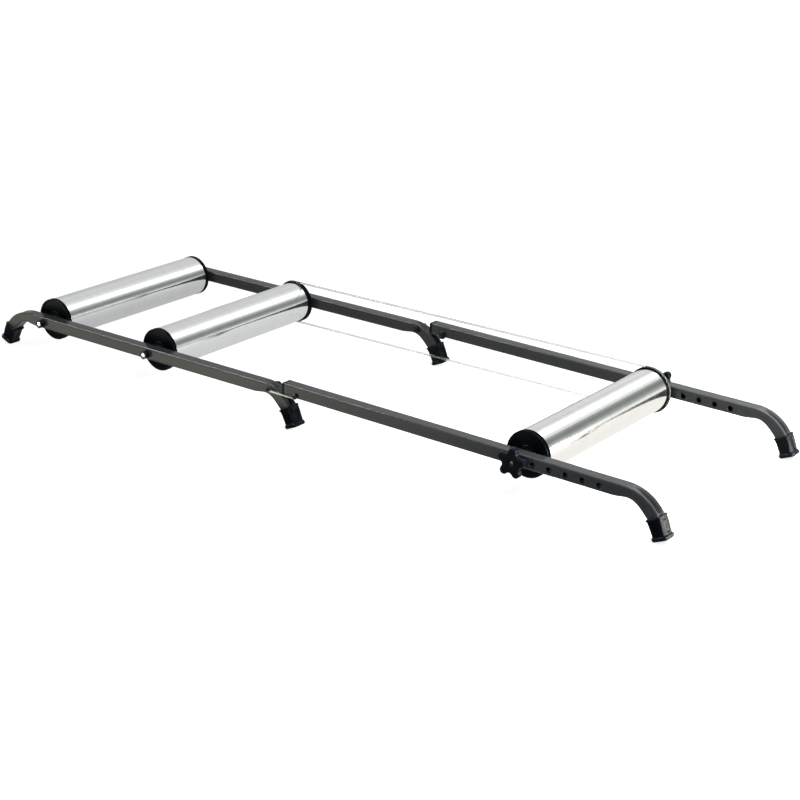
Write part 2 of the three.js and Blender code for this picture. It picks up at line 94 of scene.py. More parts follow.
# %% Camera
stand = Vector((2.00567, -2.60732, 1.22958))
yaw, pitch, roll = 0.6397, 0.3623, 0.0209
ahead = Vector((-sin(yaw) * cos(pitch), cos(yaw) * cos(pitch), -sin(pitch)))
level = Vector((cos(yaw), sin(yaw), 0))
upright = level.cross(ahead)
right = level * cos(roll) + upright * sin(roll)
up = upright * cos(roll) - level * sin(roll)
camera_data = bpy.data.cameras.new("camera")
camera_data.sensor_width, camera_data.lens = 36, 82.48
camera_data.shift_x, camera_data.shift_y = 0.0013, 0.0051
camera = linked("camera", camera_data)
camera.matrix_world = Matrix.Translation(stand) @ Matrix((right, up, -ahead)).transposed().to_4x4()
scene.camera = camera
scene.view_settings.view_transform = "Standard"
print("camera stands at", tuple(round(x, 2) for x in stand))

# %% [markdown]
# ## Studio
# Polished metal shows the room more than itself. On the real drums there is one wide white band with a
# dark band in front of it. They lie at other heights on the front drum than on the rear ones, which
# gives the softbox its place: 1.7 m up, over the front half. A first cell has the tools and the air.


# %% Studio
def nodes_of(owner):
    owner.use_nodes = True
    owner.node_tree.nodes.clear()
    return owner.node_tree


def node(tree, kind, inputs=(), **settings):
    """A node with its settings; each input is a value, another node or one of its outputs."""
    made = tree.nodes.new(kind)
    for name, value in settings.items():
        setattr(made, name, value)
    for name, value in dict(inputs).items():
        if isinstance(value, bpy.types.Node):
            value = value.outputs[0]
        if isinstance(value, bpy.types.NodeSocket):
            tree.links.new(value, made.inputs[name])
        else:
            made.inputs[name].default_value = value
    return made


def axes_of(where):
    """X, Y and Z of a place, in the same tree."""
    return node(where.id_data, "ShaderNodeSeparateXYZ", {0: where}).outputs


def grey(value):
    return (value, value, value, 1)


world = bpy.data.worlds.new("studio")
scene.world = world
tree = nodes_of(world)
air = node(tree, "ShaderNodeBackground", {"Color": (0.665, 0.678, 0.677, 1), "Strength": 1.0})
node(tree, "ShaderNodeOutputWorld", {"Surface": air})
print("studio air:", [round(channel, 3) for channel in air.inputs["Color"].default_value[:3]])

# %% [markdown]
# ### Floor
# Gloss sees another floor than the camera does. Its colour is graded, warm and pale towards the front and
# grey towards the rear: a painted falloff of the softbox's light.


# %% Floor
def sheet_of_studio(name, corners):
    mesh = bpy.data.meshes.new(name)
    mesh.from_pydata(corners, [], [(0, 1, 2, 3)])
    made = linked(name, mesh)
    return made


def level_sheet(x, y, z):
    return [(x[0], y[0], z), (x[1], y[0], z), (x[1], y[1], z), (x[0], y[1], z)]


def only_mirrored(sheet):
    sheet.visible_camera = sheet.visible_diffuse = sheet.visible_shadow = False


WIDE = (-30, 30)
floor = sheet_of_studio("floor", level_sheet(WIDE, WIDE, 0))
floor.visible_glossy = False
white_floor = bpy.data.materials.new("white_floor")
tree = nodes_of(white_floor)
paint = node(tree, "ShaderNodeBsdfDiffuse", {"Color": grey(0.3)})
glow = node(tree, "ShaderNodeEmission", {"Color": grey(1), "Strength": 0.82})
both = node(tree, "ShaderNodeAddShader", {0: paint, 1: glow})
node(tree, "ShaderNodeOutputMaterial", {"Surface": both})
floor.data.materials.append(white_floor)

mirrored = sheet_of_studio("mirrored_floor", level_sheet(WIDE, WIDE, -0.002))
only_mirrored(mirrored)


def graded(tree, way, stops):
    """A colour that changes along X, Y or Z (0, 1 or 2) through stops of (place, colour)."""
    where = node(tree, "ShaderNodeTexCoord").outputs["Object"]
    first, last = stops[0][0], stops[-1][0]
    limits = {"Value": axes_of(where)[way], "From Min": first, "From Max": last}
    share = node(tree, "ShaderNodeMapRange", limits)
    ramp = node(tree, "ShaderNodeValToRGB", {"Fac": share})
    while len(ramp.color_ramp.elements) < len(stops):
        ramp.color_ramp.elements.new(0.5)
    for element, (place, color) in zip(ramp.color_ramp.elements, stops):
        element.position = (place - first) / (last - first)
        element.color = color
    return ramp.outputs[0]


pale_floor = bpy.data.materials.new("pale_floor")
tree = nodes_of(pale_floor)
# Painted light: the colour grows paler towards the front, standing in for the falloff of the softbox's
# light.
painted_falloff = [(-0.6, grey(0.5)), (-0.3, grey(0.66)), (0.0, grey(0.76)), (0.55, (0.96, 0.92, 0.87, 1))]
paint = node(tree, "ShaderNodeBsdfDiffuse", {"Color": graded(tree, 0, painted_falloff)})
node(tree, "ShaderNodeOutputMaterial", {"Surface": paint})
mirrored.data.materials.append(pale_floor)
print("two floors, one for the camera and one for the gloss")

# %% [markdown]
# ### Cards and lamps
# The rest of the room is graded cards that only gloss sees: the front and far walls, the softbox's soft
# edge, a low window that lights the front feet, and the near floor, warm at the rear and dark at the
# front. The front lamp lights matt surfaces only.


# %% Cards and lamps
def card(name, corners, strength, color, way=0, stops=None):
    """A sheet that only gloss sees, of one colour or graded along one direction."""
    sheet = sheet_of_studio(name, corners)
    only_mirrored(sheet)
    material = bpy.data.materials.new(name)
    tree = nodes_of(material)
    shine = node(tree, "ShaderNodeEmission", {"Color": color, "Strength": strength})
    if stops:
        tree.links.new(graded(tree, way, stops), shine.inputs["Color"])
    node(tree, "ShaderNodeOutputMaterial", {"Surface": shine})
    sheet.data.materials.append(material)


def upright_sheet(x, y, z):
    return [(x, y[0], z[0]), (x, y[1], z[0]), (x, y[1], z[1]), (x, y[0], z[1])]


opening = [(0.0, (0.8, 0.79, 0.76, 1)), (0.2, (1, 0.99, 0.95, 1)), (0.36, (0.46, 0.47, 0.45, 1)),
           (0.56, (0.28, 0.3, 0.285, 1)), (0.85, (0.19, 0.205, 0.195, 1)), (1.2, (0.27, 0.285, 0.275, 1)),
           (1.6, (0.44, 0.45, 0.44, 1)), (1.8, (0.66, 0.67, 0.67, 1))]
card("front_wall", upright_sheet(1.4, (-1.5, 5), (0, 1.8)), 1.0, grey(1), 2, opening)
card("low_window", upright_sheet(1.15, (-0.5, 0.55), (0, 0.25)), 26.0, (1, 0.97, 0.9, 1))
wall = [(-6, grey(0.5)), (-4.6, grey(0.58)), (-3, grey(0.66)), (-1.2, grey(0.84))]
far_wall = [(-9, 4, 0.3), (3, 4, 0.3), (3, 4, 3.4), (-9, 4, 3.4)]
card("far_wall", far_wall, 1.0, grey(1), 0, wall)
fading = [(-1.3, grey(0.62)), (-0.6, grey(0.7)), (-0.2, grey(0.88)), (0.1, grey(1.2))]
card("softbox_edge", level_sheet((-1.3, 0.1), (-1.4, 3.8), 1.73), 1.0, grey(1), 0, fading)
card("floor_in_front", level_sheet((-3, 4), (-0.325, -0.25), -0.001), 0.05, grey(1))
dusk = [(-0.8, (0.74, 0.72, 0.62, 1)), (-0.55, (0.72, 0.71, 0.62, 1)), (-0.3, (0.93, 0.91, 0.79, 1)),
        (0.1, (0.5, 0.5, 0.44, 1)), (0.5, (0.04, 0.055, 0.075, 1))]
card("floor_ahead", level_sheet((-3, 4), (-3, -0.325), -0.001), 3.4, grey(1), 0, dusk)
card("rear_strip", level_sheet((-2.1, -0.75), (-1.1, -0.75), 1.35), 55, (1, 1, 0.98, 1))


def area_light(name, place, aim, width, length, power, tint):
    data = bpy.data.lights.new(name, "AREA")
    data.shape = "RECTANGLE"
    data.size, data.size_y = width, length
    data.energy, data.color = power, tint
    made = linked(name, data)
    made.location = place
    toward = Vector(aim) - Vector(place)
    made.rotation_euler = toward.to_track_quat("-Z", "Y").to_euler()
    made.visible_camera = False
    return made


softbox = area_light("softbox", (0.46, 1.2, 1.72), (0.46, 1.2, 0), 0.72, 5.2, 24, (1, 1, 1))
front_lamp = area_light("front_lamp", (1.1, 0.28, 0.85), (1.1, -0.1, 0), 0.5, 0.5, 55, (0.95, 0.98, 1))
front_lamp.visible_glossy = False
print("studio: softbox of", softbox.data.size, "by", softbox.data.size_y, "m")

# %% [markdown]
# ## Helpers for closed pieces
# Nearly every piece here is one of two kinds: a section carried along a path, or a profile carried round
# an axis. Both are rings of points with faces between them, so one skin function serves all. Sharp
# corners of a profile are softened into small curves, because no real edge is perfectly sharp, and
# those curves are what catches the light.


# %% Helpers for closed pieces
def skin(rings, looped=False):
    """Points and faces over rings with the same number of points."""
    count = len(rings[0])
    points = [point for ring in rings for point in ring]
    faces = []
    for ring in range(len(rings) if looped else len(rings) - 1):
        here, beyond = ring * count, (ring + 1) % len(rings) * count
        for corner in range(count):
            beside = (corner + 1) % count
            faces.append((here + corner, here + beside, beyond + beside, beyond + corner))
    if not looped:
        faces.append(tuple(range(count)))
        faces.append(tuple(range(len(points) - count, len(points))))
    return points, faces


def solid(name, points, faces, material=None):
    """An object from points in millimetres: doubles merged, faces turned outwards."""
    build = bmesh.new()
    corners = [build.verts.new(Vector(point) * MM) for point in points]
    for face in faces:
        build.faces.new([corners[index] for index in face])
    bmesh.ops.remove_doubles(build, verts=build.verts, dist=1e-7)
    bmesh.ops.recalc_face_normals(build, faces=build.faces)
    mesh = bpy.data.meshes.new(name)
    build.to_mesh(mesh)
    build.free()
    made = linked(name, mesh)
    if material is not None:
        mesh.materials.append(material)
    return made


def turned(profile, sides=72):
    """Rings of a closed profile of (radius, height) carried round the Y axis."""
    rings = []
    for side in range(sides):
        angle = 2 * pi * side / sides
        line = profile(angle) if callable(profile) else profile
        rings.append([(r * cos(angle), h, r * sin(angle)) for r, h in line])
    return skin(rings, looped=True)


def bowed(start, bend, end, t):
    """A point at share t of the small curve that leads from start to end past a bend."""
    return tuple(start * (1 - t) ** 2 + bend * 2 * t * (1 - t) + end * t**2)


def softened(corners, radius=0.4, steps=3):
    """The closed profile with each corner replaced by a small curve; corners on the axis stay."""
    soft = []
    for index, corner in enumerate(corners):
        here = Vector(corner)
        back = Vector(corners[index - 1]) - here
        onward = Vector(corners[(index + 1) % len(corners)]) - here
        if here.x < 1e-6:
            soft.append(tuple(here))
            continue
        reach = min(radius, back.length * 0.45, onward.length * 0.45)
        start, end = here + back.normalized() * reach, here + onward.normalized() * reach
        soft += [bowed(start, here, end, step / steps) for step in range(steps + 1)]
    return soft


def moved(shape, x=0.0, y=0.0, z=0.0, outward=1):
    """The shape's points at a place; outward -1 turns it over about X, for the right side."""
    points, faces = shape
    return [(px + x, py * outward + y, pz * outward + z) for px, py, pz in points], faces


def plain_mesh(piece):
    """The mesh that the piece's modifiers, or its curve's thickness and bevel, come to."""
    bpy.context.view_layer.update()
    graph = bpy.context.evaluated_depsgraph_get()
    return bpy.data.meshes.new_from_object(piece.evaluated_get(graph), depsgraph=graph)


def settle(piece):
    """Applies what modifiers the piece has, so that a plain mesh is left."""
    mesh = plain_mesh(piece)
    piece.modifiers.clear()
    piece.data = mesh
    return piece


FULL_EDGE, FULL_HOLLOW = 500, 50


def mark_edges(piece):
    """Stores on each face how sharply, in 1/m, it curves outwards, where a finish wears and the coat
    carries a painted highlight, and inwards, where the coat carries painted shade.
    """
    build = bmesh.new()
    build.from_mesh(piece.data)
    layer = build.faces.layers.float.new("edge")
    hollow = build.faces.layers.float.new("hollow")
    for face in build.faces:
        bend = sum(edge.calc_face_angle_signed(0) * edge.calc_length() for edge in face.edges)
        curve = bend / (2 * max(face.calc_area(), 1e-12))
        face[layer] = min(max(curve / FULL_EDGE, 0), 1)
        face[hollow] = min(max(-curve / FULL_HOLLOW, 0), 1)
    build.to_mesh(piece.data)
    build.free()


BODY_OF = {n: body for body, held in frame["record"]["behaviour"]["bodies"].items() for n in held}


def place(piece, name, slot, sharp=40):
    """Smooths the finished piece, marks its edges and lets it stand for the solid of that name."""
    piece.data.shade_smooth()
    piece.data.set_sharp_from_angle(angle=radians(sharp))
    even = piece.modifiers.new("even", "WEIGHTED_NORMAL")
    even.keep_sharp = True
    settle(piece)
    mark_edges(piece)
    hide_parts(name)
    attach(piece, BODY_OF[name])
    return piece


def middle_of(name):
    low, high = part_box(name)
    return (low + high) / 2 / MM


axis = {drum: middle_of(f"{drum}_drum_shell") for drum in ("rear", "middle", "front")}
print("drum axes at x", [round(centre.x, 2) for centre in axis.values()])

# %% [markdown]
# ## Finishes
# A finish is made of layers: a base colour that is never quite even, a roughness that changes from
# place to place, and a fine relief. Each is a noise at the size of the thing it stands for: metres per
# wave become waves per metre in the Scale socket. mark_edges has marked edges and hollows.


# %% Tools for finishes
def surface(name, color, roughness, metallic=0.0, **steady):
    """A material with its shader; steady values are the shader's own sockets, _ for a space."""
    material = bpy.data.materials.new(name)
    tree = nodes_of(material)
    values = {"Base Color": color, "Roughness": roughness, "Metallic": metallic}
    values.update({socket.replace("_", " "): value for socket, value in steady.items()})
    shader = node(tree, "ShaderNodeBsdfPrincipled", values)
    node(tree, "ShaderNodeOutputMaterial", {"Surface": shader})
    where = node(tree, "ShaderNodeTexCoord").outputs["Object"]
    return material, shader, where


def grain(where, scale, detail=2.0, stretch=None):
    tree = where.id_data
    if stretch:
        where = node(tree, "ShaderNodeMapping", {"Vector": where, "Scale": stretch})
    return node(tree, "ShaderNodeTexNoise", {"Vector": where, "Scale": scale, "Detail": detail}).outputs[0]


def ranged(value, low, high, to_low, to_high):
    limits = {"Value": value, "From Min": low, "From Max": high, "To Min": to_low, "To Max": to_high}
    return node(value.id_data, "ShaderNodeMapRange", limits).outputs[0]


def between(share, first, second):
    mixed = node(share.id_data, "ShaderNodeMix", {0: share, 6: first, 7: second}, data_type="RGBA")
    return mixed.outputs[2]


def reckon(operation, first, second):
    return node(first.id_data, "ShaderNodeMath", {0: first, 1: second}, operation=operation).outputs[0]


def times(first, second):
    return reckon("MULTIPLY", first, second)


def edges_of(shader, mark="edge"):
    return node(shader.id_data, "ShaderNodeAttribute", attribute_name=mark).outputs["Fac"]


def feed(shader, socket, value):
    shader.id_data.links.new(value, shader.inputs[socket])


def relief(shader, height, distance, strength, under=None):
    values = {"Height": height, "Distance": distance, "Strength": strength}
    if under is not None:
        values["Normal"] = under
    bump = node(shader.id_data, "ShaderNodeBump", values).outputs[0]
    feed(shader, "Normal", bump)
    return bump


def covered(shader, share, color):
    """Lays another colour over what the shader's base colour is so far."""
    below = shader.inputs["Base Color"].links[0].from_socket
    feed(shader, "Base Color", between(share, below, color))


print("tools for finishes are ready")

# %% [markdown]
# ### Powder coat
# The rails are coated with a dark grey powder, baked on. It flows like thick paint: the surface has a
# faint orange peel a few millimetres wide, it is satin rather than glossy, and the coat is a little
# paler where it wraps round an edge, which also paints a highlight there. The hollows of the dished
# legs are darkened with painted shade.

# %% Powder coat
powder_coat, shader, where = surface("powder_coat", (0.026, 0.027, 0.029, 1), 0.22, Specular_IOR_Level=0.22)
mottle = grain(where, 9, 3)
flake = grain(where, 1100, 1)
tone = between(mottle, (0.0165, 0.0175, 0.019, 1), (0.0235, 0.024, 0.0245, 1))
tone = between(ranged(flake, 0.6, 0.75, 0, 0.3), tone, (0.08, 0.082, 0.085, 1))
# Paler edges: a thinner coat, together with a painted highlight along the rounded corners.
paler_coat_and_edge_highlight = times(edges_of(shader), ranged(grain(where, 70, 3), 0.35, 0.65, 0.5, 0.9))
tone = between(paler_coat_and_edge_highlight, tone, (0.045, 0.047, 0.05, 1))
# Painted shade: the hollows of the dished legs are darkened.
painted_hollow_shade = times(edges_of(shader, "hollow"), ranged(grain(where, 90, 3), 0.3, 0.7, 0.7, 0.95))
tone = between(painted_hollow_shade, tone, (0.004, 0.005, 0.0065, 1))
feed(shader, "Base Color", tone)
feed(shader, "Roughness", ranged(grain(where, 45, 3), 0.3, 0.7, 0.13, 0.2))
peel = relief(shader, grain(where, 330, 1), 0.0002, 0.12)
relief(shader, grain(where, 1500, 1), 0.00005, 0.2, peel)
print("finish: powder coat")

# %% [markdown]
# ### Turned aluminium
# The drums are turned on a lathe and polished. Fine rings run round them, so a highlight is drawn out
# across the drum, and slight smears dull the metal in places.

# %% Turned aluminium
turned_aluminium, shader, where = surface("turned_aluminium", (0.9, 0.905, 0.91, 1), 0.16, 1.0)
rings_round = grain(where, 900, 3, stretch=(0.002, 1, 0.002))
bands_round = grain(where, 60, 4, stretch=(0.01, 1, 0.01))
feed(shader, "Base Color", between(bands_round, (0.84, 0.85, 0.86, 1), (0.95, 0.955, 0.955, 1)))
gloss = ranged(bands_round, 0.3, 0.7, 0.11, 0.15)
smear = ranged(grain(where, 25, 3), 0.4, 0.7, 0, 0.03)
feed(shader, "Roughness", reckon("ADD", gloss, smear))
relief(shader, rings_round, 0.00002, 0.08)
print("finish: turned aluminium")

# %% [markdown]
# ### Black plastic and rubber
# Caps, plugs and knobs are moulded in a black plastic with a fine spark-eroded grain. The feet are a
# softer, duller rubber with shallow flow lines along the boot, and a little dust towards the floor.


# %% Black plastic and rubber
def moulded(name, dark, pale, rough, grain_size, gloss_level):
    material, shader, where = surface(name, dark, rough[0], Specular_IOR_Level=gloss_level)
    tone = between(grain(where, 60, 3), dark, pale)
    rubbed = times(edges_of(shader), ranged(grain(where, 160, 2), 0.4, 0.6, 0.2, 1))
    rubbed = times(rubbed, ranged(grain(where, 20, 2), 0, 1, 0.3, 0.6))
    worn = tuple(channel * 4 + 0.002 for channel in pale[:3]) + (1,)
    feed(shader, "Base Color", between(rubbed, tone, worn))
    feed(shader, "Roughness", ranged(grain(where, 35, 3), 0.3, 0.7, *rough))
    relief(shader, grain(where, grain_size, 2), 0.00008, 0.18)
    return material, shader, where


plastic_colors = (0.0005, 0.0015, 0.0027, 1), (0.0014, 0.0028, 0.0046, 1)
black_plastic = moulded("black_plastic", *plastic_colors, (0.26, 0.36), 1300, 0.06)[0]
rubber_colors = (0.0006, 0.0014, 0.0024, 1), (0.0016, 0.0027, 0.0042, 1)
foot_rubber, shader, where = moulded("foot_rubber", *rubber_colors, (0.22, 0.32), 900, 0.07)
flow_lines = grain(where, 200, 2, stretch=(0.12, 1, 0.12))
relief(shader, flow_lines, 0.0025, 1.0, shader.inputs["Normal"].links[0].from_socket)
low_down = ranged(axes_of(where)[2], 0.0, 0.012, 1, 0)
dust = times(low_down, ranged(grain(where, 220, 3), 0.45, 0.7, 0, 0.5))
covered(shader, dust, (0.012, 0.012, 0.0115, 1))
print("finishes: black plastic, foot rubber")

# %% [markdown]
# ### Steels
# Small steel parts come in four finishes: bright zinc plate with a bluish cast, black oxide that rubs
# off at the edges, ground bar for the axles, and the darkened races of the sealed bearings.


# %% Steels
def steel(name, dark, pale, rough, worn, stretch=None):
    material, shader, where = surface(name, pale, rough[0], 1.0)
    tone = between(grain(where, 240, 3, stretch), dark, pale)
    rubbed = times(edges_of(shader), ranged(grain(where, 500, 2), 0.4, 0.6, 0.1, 0.8))
    feed(shader, "Base Color", between(rubbed, tone, worn))
    feed(shader, "Roughness", ranged(grain(where, 420, 3, stretch), 0.3, 0.7, *rough))
    relief(shader, grain(where, 1800, 2, stretch), 0.00003, 0.25)
    return material, shader, where


bright = (0.92, 0.92, 0.92, 1)
zinc_plate = steel("zinc_plate", (0.6, 0.66, 0.7, 1), (0.8, 0.86, 0.88, 1), (0.24, 0.36), bright)[0]
black_oxide = steel("black_oxide", (0.007, 0.0075, 0.0085, 1), (0.016, 0.017, 0.019, 1), (0.36, 0.5),
                    (0.045, 0.045, 0.047, 1))[0]
ground_bar = steel("ground_bar", (0.78, 0.78, 0.79, 1), bright, (0.24, 0.38), bright, (1, 6, 1))[0]
dark_race = steel("dark_race", (0.008, 0.009, 0.01, 1), (0.02, 0.021, 0.023, 1), (0.34, 0.46),
                  (0.07, 0.07, 0.074, 1))[0]
print("finishes: zinc plate, black oxide, ground bar, dark races")

# %% [markdown]
# ## Side rails
# Each rail is one square steel tube. A press bends its ends down into legs, and on the way it crushes
# the inner wall and dishes the outer one, because a square tube has nowhere else to go. So the section
# changes along the path: a rounded square whose outer wall sinks in the middle and whose inner wall is
# pushed in through the bend. The tube is built as one closed shell: out along the outside, back along
# the bore. The holes are drilled afterwards, with a cutter that also breaks the edge of each hole.

# %% Side rails: the section and the path
TUBE, WALL, CORNER = 23.0, 1.8, 2.6
BEND_RADIUS, BEND_ANGLE, LEG_STRAIGHT = 69.0, radians(66), 16.5
CRUSH_DEPTH, CRUSH_PEAK, CRUSH_REACH = 4.0, 16.0, 38.0
DISH_DEPTH, DISH_RUN = 4.2, 40.0
BEND_LENGTH = BEND_RADIUS * BEND_ANGLE
LEG_END = BEND_LENGTH + LEG_STRAIGHT


def eased(share):
    share = min(max(share, 0.0), 1.0)
    return share * share * (3 - 2 * share)


def crushed(along):
    return CRUSH_DEPTH * eased(1 - abs(along - CRUSH_PEAK) / CRUSH_REACH)


def dished(along):
    return DISH_DEPTH * eased(along / DISH_RUN)


def section(half, corner, dish=0.0, crush=0.0, panel=0.0):
    """Rounded square as (across, out) points; its outer wall is dished, its inner wall crushed."""
    flat, low, arc = half - corner, crush - half + corner, 5
    points = []
    for step in range(17):
        share = 1 - step / 8
        inset = eased((0.72 - abs(share)) / 0.16) * panel
        hollow = dish * cos(pi * share / 2) ** 1.5 if abs(share) < 1 else 0
        points.append((flat * share, half - hollow - inset))
    corners = [(-flat, flat, 90), (-flat, low, 180), (flat, low, 270), (flat, flat, 0)]
    walls = [((-half, flat), (-half, low), 4), ((-flat, crush - half), (flat, crush - half), 8),
             ((half, low), (half, flat), 4)]
    for (cx, cy, start), wall in zip(corners, walls + [None]):
        for step in range(1, arc):
            angle = radians(start + 90 * step / arc)
            points.append((cx + corner * cos(angle), cy + corner * sin(angle)))
        if wall:
            (ax, ay), (bx, by), steps = wall
            for step in range(steps + 1):
                share = step / steps
                points.append((ax + (bx - ax) * share, ay + (by - ay) * share))
    return points


def station(along):
    """Centre line of a leg: place, and the outward direction, at a length along it."""
    turn = min(max(along, 0), BEND_LENGTH) / BEND_RADIUS
    before, past = min(along, 0), max(along - BEND_LENGTH, 0)
    x = before + BEND_RADIUS * sin(turn) + past * cos(turn)
    z = BEND_RADIUS * cos(turn) - BEND_RADIUS - past * sin(turn)
    return x, z, sin(turn), cos(turn)


def ring_at(along, start_x, way, outline, stiff=0.0):
    """The outline across the leg there; a stiff piece turns on towards the leg's last direction."""
    x, z, out_x, out_z = station(along)
    turn = atan2(out_x, out_z)
    turn += (BEND_ANGLE - turn) * stiff
    out_x, out_z = sin(turn), cos(turn)
    return [(start_x + way * (x + out_x * out), across, z + out_z * out) for across, out in outline]


def leg_rings(start_x, way, end, half, corner):
    first, gap, near = CRUSH_PEAK - CRUSH_REACH, 2.0, 0.5
    stops = [first + gap * step for step in range(int((BEND_LENGTH - first) / gap))]
    stops += [BEND_LENGTH + near + (end - BEND_LENGTH - near) * step / 8 for step in range(9)]
    return [ring_at(a, start_x, way, section(half, corner, dished(a), crushed(a))) for a in stops]


print("a leg is", round(LEG_END, 1), "mm long on its centre line")

# %% [markdown]
# The rear section of the frame is level; the front section leans down by half a degree towards its own
# feet. Both are drawn level about their tube's middle. The front one, which also has a rise, is then
# leaned about its pivot.

# %% Side rails: bodies, holes and finish
REAR_AXLE_X = axis["rear"].x
REAR_LEG, MIDDLE_LEG = REAR_AXLE_X - 38, REAR_AXLE_X + 582
FRONT_BACK, FRONT_LEG = REAR_AXLE_X + 637, REAR_AXLE_X + 1344.5
REAR_PIVOT, FRONT_PIVOT = REAR_AXLE_X + 601, REAR_AXLE_X + 663.5
RAIL_Y, RAIL_Z, FRONT_RISE, LEAN = 226.5, 66.014, 9.2, radians(0.48)
AXLE_DROP, PIVOT_RISE, AXLE_REACH, HOLE_PITCH = 1.6, 2.3, 1140, 32.0
BORE, BOLT_BORE, PIVOT_Z = 5.3, 2.8, RAIL_Z + PIVOT_RISE
SOLE_PAST, BOOT_LENGTH = 6.3, 39


def leaned(points):
    turn_cos, turn_sin = cos(LEAN), sin(LEAN)
    return [(FRONT_PIVOT + (x - FRONT_PIVOT) * turn_cos + z * turn_sin, y,
             z * turn_cos - (x - FRONT_PIVOT) * turn_sin) for x, y, z in points]


SOLE_X = station(LEG_END + SOLE_PAST)[0]
drop_there = leaned([(FRONT_LEG + SOLE_X, 0, 0)])[0][2] + FRONT_RISE
FRONT_LEG_END = LEG_END + drop_there / sin(BEND_ANGLE + LEAN)


def rear_tube(half, corner):
    back = leg_rings(REAR_LEG, -1, LEG_END, half, corner)
    return back[::-1] + leg_rings(MIDDLE_LEG, 1, LEG_END, half, corner)


def front_tube(half, corner):
    level_end = [(FRONT_BACK, across, out) for across, out in section(half, corner)]
    return [level_end] + leg_rings(FRONT_LEG, 1, FRONT_LEG_END, half, corner)


def hollow_tube(rings_of):
    outside, bore = rings_of(TUBE / 2, CORNER), rings_of(TUBE / 2 - WALL, CORNER - WALL)
    return skin(outside + bore[::-1], looped=True)


def drill(x, z, radius):
    """A cutter along Y that flares at both walls, so that the hole's edge is broken."""
    half, flare, over = TUBE / 2, 0.3, 3
    profile = [(0, -half - over), (radius + flare + over, -half - over), (radius, flare - half),
               (radius, half - flare), (radius + flare + over, half + over), (0, half + over)]
    return moved(turned(profile, 40), x, 0, z)


def joined(shapes):
    points, faces = [], []
    for more_points, more_faces in shapes:
        faces += [tuple(index + len(points) for index in face) for face in more_faces]
        points += more_points
    return points, faces


def carve(piece, cutter, operation="DIFFERENCE"):
    knife = piece.modifiers.new("carve", "BOOLEAN")
    knife.object, knife.operation, knife.solver = cutter, operation, "EXACT"
    settle(piece)
    bpy.data.objects.remove(cutter)


def rail(name, tube, cutters, rise, side):
    points, faces = tube
    drills, drill_faces = joined(cutters)
    if rise:
        points, drills = leaned(points), leaned(drills)
    seat = {"y": RAIL_Y * side, "z": RAIL_Z + rise}
    piece = solid(name, *moved((points, faces), **seat), powder_coat)
    carve(piece, solid("cutter", *moved((drills, drill_faces), **seat)))
    return place(piece, name.replace("tube", "rail"), "frame_grey", sharp=45)


rear_holes = [drill(REAR_AXLE_X, -AXLE_DROP, BORE), drill(axis["middle"].x, -AXLE_DROP, BORE),
              drill(REAR_PIVOT, PIVOT_RISE, BOLT_BORE)]
front_holes = [drill(REAR_AXLE_X + AXLE_REACH + HOLE_PITCH * hole, -AXLE_DROP, BORE) for hole in range(6)]
front_holes.append(drill(FRONT_PIVOT, PIVOT_RISE - FRONT_RISE, BOLT_BORE))
for name, side in SIDES.items():
    rear = rail(f"rear_tube_{name}", hollow_tube(rear_tube), rear_holes, 0, side)
    front = rail(f"front_tube_{name}", hollow_tube(front_tube), front_holes, FRONT_RISE, side)
    print("rails", name, len(rear.data.polygons), len(front.data.polygons), "faces")

# %% [markdown]
# ## Rubber feet
# A foot is a moulded boot, pulled over the cut end of a leg. It has a rolled lip at its mouth, a sunk
# panel on its outer face, and a flared base whose inner corner stands on the floor. It follows the same
# centre line as the leg, so it uses the same section and path; its inside is the leg's own outline with
# a little room, and what would be under the floor is worn flat.


# %% Rubber feet
MOUTH = [(5, 11.8, 3), (1.2, 11.8, 3), (0.3, 12.3, 3.2), (0, 13.0, 3.4), (0.1, 13.7, 3.6), (0.6, 14.3, 3.9),
         (1.4, 14.6, 4.2), (2.6, 14.5, 4.2), (3.6, 14.15, 4.4), (4.4, 13.85, 4.6), (5.4, 13.8, 4.7)]
SHAFT = [(5.4 + 1.6 * step, 13.8, 4.7 + 0.15 * step) for step in range(1, 16)]
BASE = [(-7.9, 13.85, 7), (-7.1, 14.3, 7), (-6.5, 15.0, 7), (-5.9, 15.35, 7), (-5.0, 15.4, 7),
        (-2.2, 15.4, 7), (-1.3, 15.15, 7), (-0.6, 14.6, 6.8), (-0.15, 13.8, 6.5), (0, 13.0, 6.2)]


def from_there(start, table):
    """A table of (distance, half width, corner radius), with its distances from a start."""
    return [(start + distance, half, corner) for distance, half, corner in table]


def boot_outline(start_x, way, end, rise, side):
    sole = end + SOLE_PAST
    top = sole - BOOT_LENGTH
    steps = from_there(top, MOUTH + SHAFT) + from_there(sole, BASE)
    rings = []
    for count, (along, half, corner) in enumerate(steps):
        inside = count < 2
        deep = (dished(along), crushed(along)) if inside else (0, 0)
        panel = 0 if count < 10 else 1.2 * eased((along - top - 6) / 2.5) * eased((sole - 10 - along) / 2.5)
        outline = section(half, corner, *deep, panel=panel)
        rings.append(ring_at(along, start_x, way, outline, stiff=0 if inside else 0.5))
    points, faces = skin(rings)
    if rise:
        points = leaned(points)
    points, faces = moved((points, faces), y=RAIL_Y * side, z=RAIL_Z + rise)
    return [(x, y, max(z, 0.0)) for x, y, z in points], faces


FEET = {"rear": (REAR_LEG, -1, LEG_END, 0), "middle": (MIDDLE_LEG, 1, LEG_END, 0),
        "front": (FRONT_LEG, 1, FRONT_LEG_END, FRONT_RISE)}
for foot, leg in FEET.items():
    for name, side in SIDES.items():
        piece = solid(f"boot_{foot}_{name}", *boot_outline(*leg, side), foot_rubber)
        place(piece, f"foot_{foot}_{name}", "foot_rubber", sharp=60)
print("six feet,", len(piece.data.polygons), "faces each")

# %% [markdown]
# ## Drums
# A drum is a thick tube: a rounded rectangle, the wall's section, carried round a circle. That is a
# rule, so Geometry Nodes make it, and the same tree serves any such sleeve. The inputs are the sizes.


